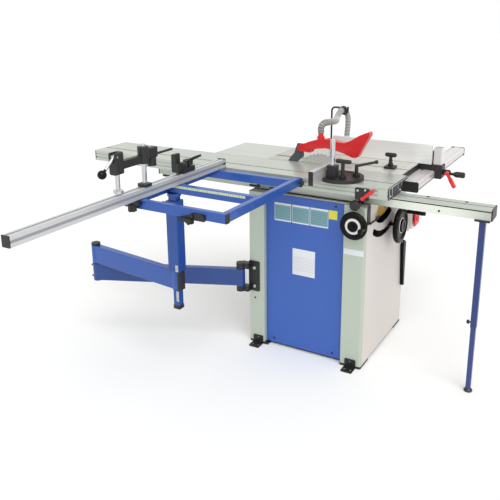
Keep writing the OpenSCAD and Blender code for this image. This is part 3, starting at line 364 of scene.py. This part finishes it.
panel_face = corners("access_panel")[0].y
column_face = corners("cabinet_shell")[0].y
cabinet_end = -corners("cabinet_shell")[0].x
panel_screw_spots = [(x, panel_face, z) for x in (-163, 143) for z in (36, 747)]
teal_spans = [(-161, 640, -76, 726), (-71, 640, 16, 726), (20, 640, 108, 726)]
film_spans = [(x0 + 2, z0 + 6, x1 - 2, z1 - 9) for x0, z0, x1, z1 in teal_spans]
caution_span = (110, 686, 151, 727)
rating_span = (-67, 390, 47, 518)
column_span = (194, 545, 286, 571)
column_plug_spot = (-257, column_face, 236)
plate_front, plate_sunk, plate_edge = 0.6, 0.1, 0.25
film_front = 0.4
ruling_depth = 0.6
front_shade_margin = 0.0204
front, up = (0, -1, 0), (0, 0, 1)
inward, outward = (-1, 0, 0), (1, 0, 0)


def dress(surface, *names):
    """Gives CAD nodes their surface."""
    for name in names:
        for held in nodes[name].material_slots:
            held.material = surface


def block(mesh_work, low, high, edge, turn=None):
    """A block between two corners with rounded edges; turn places it afterwards."""
    low, high = Vector(low), Vector(high)
    grown = bmesh.ops.create_cube(mesh_work, size=1)["verts"]
    size = high - low
    for v in grown:
        v.co = low + Vector((v.co[k] + 0.5) * size[k] for k in range(3))
    rim = list(dict.fromkeys(e for v in grown for e in v.link_edges))
    rounded = bmesh.ops.bevel(mesh_work, geom=rim, offset=edge, segments=2, affect="EDGES", profile=0.6)
    if turn:
        moved = list(dict.fromkeys(v for f in rounded["faces"] for v in f.verts))
        bmesh.ops.transform(mesh_work, matrix=turn, verts=moved)


def blocks(name, spans, edge, surface, body, slot, turn=None):
    """Rounded blocks, each between its own two corners, as one piece."""
    work = bmesh.new()
    for low, high in spans:
        block(work, low, high, edge, turn)
    return made(name, work, surface, body, slot)


def turned(mesh_work, profile, at, along, around=32):
    """A closed turned shape: radius and height pairs, from the base at a point, along a direction."""
    lie = Vector((0, 0, 1)).rotation_difference(Vector(along)).to_matrix()
    if profile[0] != profile[-1]:
        profile = [(0, profile[0][1])] + profile
    rings = []
    for radius, height in profile:
        ring = circle(around) if radius else [(0, 0)]
        spots = [Vector(at) + lie @ Vector((radius * c, radius * s, height)) for c, s in ring]
        rings.append([mesh_work.verts.new(spot) for spot in spots])
    for a, b in zip(rings, rings[1:]):
        for k in range(around):
            corner = (a[k % len(a)], a[(k + 1) % len(a)], b[(k + 1) % len(b)], b[k % len(b)])
            mesh_work.faces.new(dict.fromkeys(corner))


def rounds(name, profile, spots, along, around, surface, body, slot):
    """Turned shapes of one profile, each at its own spot, as one piece."""
    work = bmesh.new()
    for spot in spots:
        turned(work, profile, spot, along, around)
    return made(name, work, surface, body, slot)


def screws(name, spots, along, radius, height, surface, body, slot):
    """Cap screws with a sunk socket, as one piece."""
    socket, floor_height = radius * 0.5, height * 0.4
    cap = [(radius, -0.2), (radius, height * 0.7), (radius * 0.85, height), (socket, height)]
    recess = [(socket * 0.9, floor_height), (0, floor_height)]
    return rounds(name, cap + recess, spots, along, 18, surface, body, slot)


def film(name, colour, worn, grain=(90,) * 3):
    """Smooth printed film."""
    return finish(name, colour, worn, 0.4, grain=grain, relief=0.0)


def ruled(surface, colour, step, line, low, high):
    """Blank ruling across a film: level lines a step apart between two heights, in metres."""

    def lines(x, y, z):
        return ((z % step) < line) * z.within(low, high) * ruling_depth

    return overlaid(surface, colour, lines)


def label(name, spans, face, surface, body="base"):
    """Thin bare plates glued to a face that looks along -Y; each span is x, z to x, z."""
    pairs = [((x0, face - plate_front, z0), (x1, face + plate_sunk, z1)) for x0, z0, x1, z1 in spans]
    return blocks(name, pairs, plate_edge, surface, body, "cream")


side_white = finish("side_paint_and_front_shade", tone(214, 207, 202), tone(207, 200, 196), 0.42, grain=(260,) * 3)
# Everything ahead of the panel's plane, the corner columns' fronts, is painted darker and greener: painted
# shade for the dimmer light on faces that look along -Y.
front_shade_limit = column_face * 0.001 + front_shade_margin
cream = overlaid(side_white, tone(180, 191, 176), lambda x, y, z: y < front_shade_limit)
box_white = finish("switch_paint", tone(226, 224, 218), tone(217, 215, 210), 0.42, grain=(260,) * 3)
blue = finish("blue_paint", tone(50, 90, 172), tone(56, 97, 178), 0.42, grain=(260,) * 3, relief=0.06)
black = finish("black_paint", tone(24, 24, 24), tone(32, 32, 31), 0.45, grain=(400,) * 3, relief=0.1)
zinc = finish("zinc_plating", tone(205, 206, 204), tone(180, 182, 182), 0.34, 0.8, (500,) * 3)
dress(cream, "cabinet_shell")
dress(box_white, "switch_box")
dress(blue, "access_panel")
dress(black, "base_frame")
screws("panel_screws", panel_screw_spots, front, 5, 2.6, black, "base", "black_metal")

teal_film = film("teal_film", tone(112, 154, 162), tone(124, 166, 172), (40, 40, 160))
teal = ruled(teal_film, tone(66, 104, 112), 0.0075, 0.0026, 0.652, 0.712)
yellow = film("yellow_film", tone(226, 218, 72), tone(216, 206, 62))
white_film = film("white_film", tone(226, 229, 231), tone(214, 218, 222), (30, 30, 120))
plain_film = film("table_film", tone(226, 229, 231), tone(214, 218, 222), (30, 30, 120))
table_film = ruled(plain_film, tone(150, 152, 160), 0.009, 0.0018, 0.414, 0.486)
label("instruction_plates", teal_spans, panel_face, white_film)
label("instruction_films", film_spans, panel_face - film_front, teal)
label("caution_plate", [caution_span], panel_face, yellow)
label("rating_plate", [rating_span], panel_face, table_film)
label("column_plate", [column_span], column_face, white_film)
plug_profile = [(5, -0.2), (5, 0.8), (3.5, 1.6), (0, 1.6)]
rounds("column_plug", plug_profile, [column_plug_spot], front, 20, black, "base", "black_metal")

# Tables: ground grey cast iron with a T slot and a blade opening; the rear table is painted sheet.
# A light alloy strip beside the blade lifts out; a black strip along the operator's edge is painted shade on
# the table's edge.
table_low, table_high = corners("main_table")
edge_shade_low = (table_high.x - 0.4, table_low.y + 2, table_high.z - 28)
edge_shade_high = (table_high.x + 1.6, table_high.y - 4, table_high.z - 4)
drawn_x, drawn_y = (6, 700, 700), (700, 6, 700)
planed = (14, 900, 300)
far_shade, far_shade_gain = 0.08, 2.4


def drawn(name, colour, worn, grain, metal, rough=0.3):
    """Drawn alloy with its grain along the length of the profile."""
    return finish(name, colour, worn, rough, metal, grain, 0.15)


ground = finish("ground_iron", tone(218, 219, 210), tone(200, 202, 194), 0.26, 0.25, planed, 0.2, 0.04)
iron = overlaid(ground, tone(168, 166, 158), lambda x, y, z: (far_shade - x) * far_shade_gain)
white = finish("white_paint", tone(198, 201, 192), tone(190, 193, 185), 0.4, grain=(260,) * 3)
# This drawn alloy's greener, darker tone is painted shade, for the dim greenish light on faces that look
# along -Y.
alloy = drawn("drawn_alloy", tone(192, 198, 188), tone(176, 182, 173), drawn_x, 0.35)
alloy_y = drawn("drawn_alloy_cross", tone(214, 215, 214), tone(196, 197, 199), drawn_y, 0.45)
plastic = finish("black_plastic", tone(22, 22, 22), tone(30, 30, 30), 0.46, grain=(600,) * 3, relief=0.12)
dress(iron, "main_table")
dress(white, "rear_table")
dress(alloy, "table_insert")
dress(plastic, "slot_stop")
# Painted shade: a black strip along the table's operator's edge.
blocks("table_edge_shade_strip", [(edge_shade_low, edge_shade_high)], 0.6, plastic, "base", "black_plastic")

# Saw unit: cast cradle, arbor housing and motor under the table, with the blade, knife and guard above it.
# The guard is moulded red plastic hinged on the knife.
blade_grain, shaft_grain, knife_grain = (240, 30, 240), (500, 500, 60), (40, 40, 600)
dark_iron = finish("grey_casting", tone(92, 94, 96), tone(76, 78, 80), 0.6, 0.2, (180,) * 3, relief=0.25)
brass = finish("brass_casting", tone(224, 184, 92), tone(204, 162, 70), 0.35, 0.45, (300,) * 3)
blade_steel = finish("blade_steel", tone(204, 204, 199), tone(188, 189, 186), 0.28, 0.3, blade_grain, 0.12)
steel = finish("ground_steel", tone(178, 180, 182), tone(160, 163, 166), 0.3, 0.75, shaft_grain, 0.15)
rubber = finish("belt_rubber", tone(30, 30, 30), tone(40, 40, 40), 0.8, grain=(300,) * 3, relief=0.2)
red = finish(
    "red_plastic", tone(222, 30, 30), tone(212, 26, 27), 0.34, grain=(500,) * 3, relief=0.04, clear=0.3
)
knife_steel = finish("knife_steel", tone(78, 84, 88), tone(92, 97, 100), 0.4, 0.4, knife_grain, 0.12)
dress(dark_iron, "tilt_cradle", "arbor_housing", "motor")
dress(brass, "trunnions")
dress(blade_steel, "saw_blade")
dress(steel, "arbor", "motor_pulley", "rise_screw")
dress(rubber, "drive_belt")
dress(knife_steel, "riving_knife")
dress(red, "blade_guard")
dress(plastic, "dust_port")
dress(black, "hose_rod")

# Handwheels: black moulded wheels with a turning grip; each has a web disc with a dial ring on its hub.
# The tilt wheel is on the front, the height wheel on the operator's end with the switch and push stick.
button_low = corners("stop_button")[0]
paddle_low = button_low + Vector((16, -13, -16))
paddle_high = button_low + Vector((25, 55, 70))
stick_outline = [(250, 214), (266, 214), (266, 448), (232, 448), (222, 440)]
stick_back, stick_front = cabinet_end + 0.6, cabinet_end + 18
pointer_low = (cabinet_end - 0.1, -266, 684)
pointer_high = (cabinet_end + 5, -236, 768)
pointer_line = [(298, -252, 690), (302, -205, 691), (302, -146, 697)]
wheel_sheen = 0.15


def board(mesh_work, outline, near, far, edge):
    """A flat board with rounded edges: an outline of y, z points between two places along X."""
    faces = [[mesh_work.verts.new((x, y, z)) for y, z in outline] for x in (near, far)]
    for k in range(len(outline)):
        mesh_work.faces.new((faces[0][k - 1], faces[0][k], faces[1][k], faces[1][k - 1]))
    for face in faces:
        mesh_work.faces.new(face)
    bmesh.ops.bevel(mesh_work, geom=mesh_work.edges[:], offset=edge, segments=2, affect="EDGES", profile=0.6)


def pivot(joint):
    """The place of a joint, in millimetres."""
    return Vector(joints[joint]["pos_m"]) * 1000


wheel_black = finish("wheel_plastic", tone(9, 9, 9), tone(15, 15, 15), 0.3, grain=(500,) * 3, relief=0.06)
wheel_black.node_tree.nodes["Principled BSDF"].inputs["Specular IOR Level"].default_value = wheel_sheen
dial_white = film("dial_plastic", tone(225, 226, 222), tone(212, 213, 210))
dress(wheel_black, "tilt_wheel", "height_wheel", "push_stick")
dress(red, "stop_button")
blocks("stop_paddle", [(paddle_low, paddle_high)], 3, red, "stop_button", "red_plastic")
stick = bmesh.new()
board(stick, stick_outline, stick_back, stick_front, 1.5)
made("push_stick_board", stick, wheel_black, "push_stick", "black_plastic")
pointer = bmesh.new()
block(pointer, pointer_low, pointer_high, 1.2)
swept(pointer, [Vector(p) for p in pointer_line], [5, 4.5, 3.5], 12)
made("tilt_pointer", pointer, black, "base", "black_metal")


def wheel_dial(name, joint, lift, inner, middle, outer, body):
    """A wheel's web disc and the dial ring on it, between three radii, lifted along the wheel's axis."""
    along = Vector(joints[joint]["axis"])
    at = pivot(joint) + lift * along
    thick = 5
    web = [(inner, 0), (outer, 0), (outer, thick - 1), (middle, thick), (inner, thick), (inner, 0)]
    rounds(name + "_web", web, [at], along, 48, wheel_black, body, "black_plastic")
    foot, bevel, top = -0.5, 2, 3
    hole = inner + 1
    ring = [(hole, foot), (middle, foot), (middle, bevel), (middle - 1, top), (hole + 1, top), (hole, bevel)]
    rounds(name + "_ring", ring + ring[:1], [at + thick * along], along, 48, dial_white, body, "white")


wheel_dial("tilt_dial", "tilt_wheel_turn", -2, 22.4, 35, 46, "tilt_wheel")
wheel_dial("height_dial", "height_wheel_turn", 3, 31, 37, 66, "height_wheel")

# Guide beam: drawn alloy rail on the cabinet's low shelf with a clamped blue leg at the operator's end.
# Black end caps and knobs are moulded; the leg's inner tube slides and is held by a thumbscrew.
beam_low, beam_high = corners("guide_beam")
beam_front, beam_top = beam_low.y * 0.001, beam_high.z * 0.001
highlight_near, highlight_far, highlight_drop, highlight_gain = 0.33, 0.78, 0.006, 22
groove_front, groove_back = beam_front + 0.0005, -0.2
groove_low, groove_high = beam_top - 0.0126, beam_top - 0.0064
leg_low, leg_high = corners("leg_tube")
thumbscrew_spot = (leg_low.x + 0.4, (leg_low.y + leg_high.y) / 2, leg_low.z + 18)
thumbscrew_profile = [(3.6, 0), (3.6, 6), (8, 7), (8.6, 9), (8.6, 15), (7, 17), (0, 17)]
beam_plug_spots = [(515, -158, beam_high.z), (674, -160, beam_high.z)]
beam_plug_profile = [(7, -0.3), (7, 0.6), (6, 1.2), (0, 1.2)]
foot_height = 0.0146


def tube_paint(name, colour, worn):
    """Gloss paint on drawn tube."""
    return finish(name, colour, worn, 0.36, grain=(260,) * 3, relief=0.06, clear=0.25)


def painted_highlight_stretch(x, y, z):
    """A painted highlight on the free end of the beam's front, brightest in its middle."""
    lit = x.within(highlight_near, highlight_far) * (z < beam_top - highlight_drop)
    return (x - highlight_near) * (highlight_far - x) * highlight_gain * lit


def painted_groove_shade(x, y, z):
    """Painted shade inside the groove along the beam's front."""
    return y.within(groove_front, groove_back) * z.within(groove_low, groove_high)


frame_blue = tube_paint("tube_paint", tone(24, 74, 158), tone(30, 82, 165))
# The leg's blue is a darker copy of the tube blue: painted shade.
leg_blue_shaded = tube_paint("leg_paint", tone(18, 46, 110), tone(24, 53, 117))
foot_blue = tube_paint("foot_paint", tone(32, 54, 116), tone(38, 62, 122))
# The beam's alloy has a greener, darker tone of painted shade and a painted highlight along the free end of
# its front.
beam_alloy_painted_light = drawn("beam_alloy_painted_light", tone(192, 198, 188), tone(176, 182, 173), drawn_x, 0.35)
overlaid(beam_alloy_painted_light, tone(228, 232, 222), painted_highlight_stretch)
# Painted shade darkens the inside of the groove along the beam's front.
overlaid(beam_alloy_painted_light, tone(66, 68, 62), painted_groove_shade)
overlaid(foot_blue, tone(24, 24, 24), lambda x, y, z: z < foot_height)
dress(beam_alloy_painted_light, "guide_beam")
dress(plastic, "beam_fittings", "lock_knob")
dress(leg_blue_shaded, "leg_tube")
dress(foot_blue, "leg_foot")
rounds("leg_thumbscrew", thumbscrew_profile, [thumbscrew_spot], inward, 20, plastic, "base", "black_plastic")
rounds("beam_plugs", beam_plug_profile, beam_plug_spots, up, 24, plastic, "base", "black_plastic")

# Sliding carriage: drawn alloy profile on ball cages, with a lock plate and red lever at its front.
# The mitre gauge on it has an iron head, an alloy fence and a chromed hold-down post.
carriage_low, carriage_high = corners("carriage_table")
carriage_end_face = corners("carriage_fittings")[1].x
lock_plate_face = corners("carriage_fittings")[0].y
mitre_low, mitre_high = corners("mitre_fence")
mitre_end_low = (mitre_low.x - 0.5, mitre_low.y - 3, mitre_low.z - 0.4)
mitre_end_high = (mitre_high.x + 0.5, mitre_low.y + 0.1, mitre_high.z + 0.4)
lock_screw_spots = [(258, lock_plate_face + 0.1, 846), (291, lock_plate_face + 0.1, 851)]
end_screw_spots = [(carriage_end_face - 0.1, y, 832) for y in (-282, -160)]
end_block_low = (carriage_high.x - 44, carriage_low.y - 4.5, carriage_low.z + 1)
end_block_high = (carriage_high.x - 2, carriage_low.y + 0.5, carriage_high.z - 6)
rib_back, rib_front = carriage_end_face - 0.2, carriage_end_face + 1.2
rib_top = carriage_high.z - 4
ribs = [((rib_back, -299, carriage_high.z - 4.4), (rib_front, -60, carriage_high.z - 1.6))]
ribs += [((rib_back, y, 823), (rib_front, y + 3, rib_top)) for y in (-299, -262)]
ribs += [((rib_back, y, 846), (rib_front, y + 3, rib_top)) for y in (-190, -139)]
plated = (60, 60, 300)
chrome = finish("chrome_plating", tone(212, 213, 214), tone(196, 198, 200), 0.14, 0.95, plated, 0.08)
dress(alloy, "carriage_table")
dress(steel, "ball_cages")
dress(plastic, "carriage_fittings", "mitre_lever")
dress(red, "lock_lever")
dress(black, "mitre_head")
dress(alloy_y, "mitre_fence")
dress(chrome, "mitre_post")
blocks("mitre_fence_end", [(mitre_end_low, mitre_end_high)], 0.8, plastic, "mitre", "black_plastic")
screws("lock_plate_screws", lock_screw_spots, front, 5, 2.5, zinc, "carriage", "steel")
blocks("carriage_end_block", [(end_block_low, end_block_high)], 1.0, alloy, "carriage", "aluminium")
# The black fittings on the carriage's end stand in for the shade in the open profile's hollows; these light
# ribs are the profile's edges.
blocks("carriage_end_ribs", ribs, 0.4, alloy_y, "carriage", "aluminium")
screws("carriage_end_screws", end_screw_spots, outward, 5, 3, zinc, "carriage", "steel")


def lever_grip(name, joint, lean, low, high, body):
    """A moulded grip over a flat lever, between two corners that lean from its pivot about the Y axis."""
    turn = Matrix.Translation(pivot(joint)) @ Matrix.Rotation(math.radians(lean), 4, "Y")
    blocks(name, [(low, high)], 4, red, body, "red_plastic", turn)


lever_grip("lock_lever_grip", "lock_lever_turn", -41, (14, -10.6, -8), (60, -0.2, 8), "lock_lever")

# Swing arm: two blue tubes hinged at a bolted bracket and an elbow, carrying the post of the frame.
# The bracket is black plate; a black cap closes the outer tube, and zinc plates clamp the post to it.
elbow = pivot("elbow")
post = Vector((-428, -660, 0))
arm_angle = math.atan2(post.y - elbow.y, post.x - elbow.x)
arm_turn = Matrix.Translation(post) @ Matrix.Rotation(arm_angle, 4, "Z")
inner_low, inner_high = corners("inner_arm")
outer_low, outer_high = corners("outer_arm")
post_foot = corners("support_post")[0].z
post_half = 16.8
arm_cap_low = (10, -18.6, outer_low.z + 0.6)
arm_cap_high = (26, 18.6, outer_high.z - 0.6)
post_cap_low = (post.x - post_half, post.y - post_half, post_foot - 0.6)
post_cap_high = (post.x + post_half, post.y + post_half, post_foot + 18)
clamp_spans = [((-416, -690, 486), (-402, -687.6, 516)), ((-426, -678.2, 340), (-413, -675.8, 388))]
clamp_screw_spots = [(-409, -690, 501), (-419.5, -678.2, 352)]
bracket_screw_spots = [(-256, column_face - 6, z) for z in (299, 392)]
elbow_screw_spots = [(inner_low.x + 1.6, elbow.y, z) for z in (316, 373)]
elbow_cap_spot = (elbow.x, elbow.y, inner_high.z)
elbow_cap_profile = [(21.5, -8.4), (21.5, 0), (19, 2.5), (0, 2.5)]
knob_side = -0.4566
# The inner arm and the post get darker copies of the tube blue: painted shade.
arm_blue_shaded = tube_paint("arm_paint", tone(18, 58, 128), tone(24, 65, 135))
post_blue_shaded = tube_paint("post_paint", tone(14, 64, 142), tone(20, 71, 149))
overlaid(post_blue_shaded, tone(24, 24, 24), lambda x, y, z: x < knob_side)
dress(black, "arm_bracket")
dress(frame_blue, "outer_arm")
dress(arm_blue_shaded, "inner_arm")
dress(post_blue_shaded, "support_post")
screws("bracket_screws", bracket_screw_spots, front, 8, 5, zinc, "base", "steel")
caps = bmesh.new()
block(caps, arm_cap_low, arm_cap_high, 1.5, arm_turn)
block(caps, post_cap_low, post_cap_high, 1.5)
made("outer_arm_caps", caps, plastic, "outer_arm", "black_plastic")
blocks("post_clamps", clamp_spans, 0.6, zinc, "outer_arm", "steel")
screws("post_clamp_screws", clamp_screw_spots, front, 4.5, 4, zinc, "outer_arm", "steel")
screws("elbow_screws", elbow_screw_spots, inward, 5, 16, black, "inner_arm", "black_metal")
rounds("elbow_cap", elbow_cap_profile, [elbow_cap_spot], up, 32, plastic, "inner_arm", "black_plastic")

# Outrigger: welded frame of blue tube that hangs on the carriage and rests on the arm's post.
# Black caps close the tubes, and a pale green rule is glued to the middle tube.
rule_span, rule_face = (-444, 857, -70, 868), -670
mark_step, mark_width, mark_depth = 0.01, 0.0012, 0.5
heavy_step, heavy_width = 0.05, 0.003
knob_spot = (corners("frame_cross_tubes")[1].x, -322, 850)
knob_profile = [(6, -1), (6, 4), (10, 6), (10, 15), (7, 18), (0, 18)]


def rule_marks(x, y, z):
    """A fine mark every 10 mm and a heavier one every 50 mm along the rule."""
    return ((x % mark_step) < mark_width).either((x % heavy_step) < heavy_width) * mark_depth


rule_green = tone(196, 212, 178)
rule_film = film("frame_rule_film", rule_green, tuple(c * 0.94 for c in rule_green[:3]) + (1,))
overlaid(rule_film, tone(40, 44, 40), rule_marks)
dress(frame_blue, "frame_side_tubes", "frame_cross_tubes")
dress(plastic, "frame_fittings")
label("frame_rule", [rule_span], rule_face, rule_film, "outrigger")
rounds("frame_corner_knob", knob_profile, [knob_spot], outward, 24, plastic, "outrigger", "black_plastic")

# Cross-cut fence: long drawn alloy profile clamped to the frame, with a flip stop and a hold-down clamp.
# The clamp has a chromed post, a black cast arm and a bright lever.
fence_low, fence_high = corners("crosscut_fence")
fence_cap_low = (fence_low.x - 1.9, fence_high.y - 13, fence_low.z - 0.8)
fence_cap_high = (fence_high.x - 0.1, fence_high.y + 4.4, fence_high.z + 0.8)
fence_groove_low = (fence_high.x - 2.9, fence_low.y + 2, fence_low.z + 15.1)
fence_groove_high = (fence_high.x - 1.1, fence_high.y - 2, fence_low.z + 24.9)
stop_lever_line = [(-412, -576, 946), (-404, -576, 958), (-372, -576, 974), (-344, -576, 986)]
lever_ball_front, lever_ball_top = -1.078, 1.025
lever_chrome = finish("lever_plating", tone(212, 213, 214), tone(196, 198, 200), 0.16, 0.9, plated, 0.08)
overlaid(lever_chrome, tone(34, 34, 34), lambda x, y, z: (y < lever_ball_front) * (z < lever_ball_top))
# A darker grey sheet floors the groove along the fence's outer face: painted shade in the groove.
groove_shade_grey = finish("groove_shade_alloy", tone(158, 158, 164), tone(146, 146, 152), 0.4, 0.3, drawn_y)
dress(alloy_y, "crosscut_fence")
dress(plastic, "fence_fittings", "stop_slider")
dress(black, "clamp_arm", "stop_finger")
dress(chrome, "clamp_post", "clamp_spindle")
dress(lever_chrome, "clamp_lever")
blocks("fence_end_cap", [(fence_cap_low, fence_cap_high)], 1.2, plastic, "fence", "black_plastic")
stop_lever = bmesh.new()
swept(stop_lever, [Vector(p) for p in stop_lever_line], [9, 7.5, 6, 5], 16)
made("stop_slider_lever", stop_lever, plastic, "stop_slider", "black_plastic")
blocks("fence_groove", [(fence_groove_low, fence_groove_high)], 0.3, groove_shade_grey, "fence", "aluminium")

# Rip fence: drawn alloy plate on a black saddle that runs on the rail, locked by a red lever.
# Two grooves run along the rail's top and two along its outer face, drawn as lines of painted shade.
rail_low, rail_high = [corner * 0.001 for corner in corners("rip_rail")]
rail_groove, groove_shade_strength = 0.0025, 0.8
top_grooves = (rail_low.x + 0.021, rail_low.x + 0.060)
outer_grooves = (rail_low.z + 0.015, rail_low.z + 0.029)
rail_skin = 0.002


def rail_groove_shade(x, y, z):
    """Painted shade in both pairs of grooves, on the top and on the outer face."""
    top = [x.within(start, start + rail_groove) for start in top_grooves]
    outer = [z.within(start, start + rail_groove) for start in outer_grooves]
    on_top = top[0].either(top[1]) * (z > rail_high.z - rail_skin)
    on_outer = outer[0].either(outer[1]) * (x > rail_high.x - rail_skin)
    return on_top.either(on_outer) * groove_shade_strength


# The near-white alloy for the fence plate is a lit copy of the drawn alloy: painted light.
bright = drawn("bright_alloy", tone(246, 247, 245), tone(234, 235, 234), drawn_x, 0.25, 0.26)
bright_y = drawn("bright_alloy_cross", tone(232, 228, 226), tone(220, 216, 214), drawn_y, 0.4)
rail_alloy = drawn("rail_alloy", tone(228, 224, 222), tone(216, 212, 210), drawn_y, 0.4)
overlaid(rail_alloy, tone(120, 116, 116), rail_groove_shade)
dress(rail_alloy, "rip_rail")
dress(bright_y, "rip_column")
dress(bright, "fence_plate")
dress(plastic, "rail_fittings", "rip_saddle")
dress(red, "rip_lever")
lever_grip("rip_lever_grip", "rip_lock", 58, (30, -11.5, -8), (77, 11.5, 8), "rip_lever")
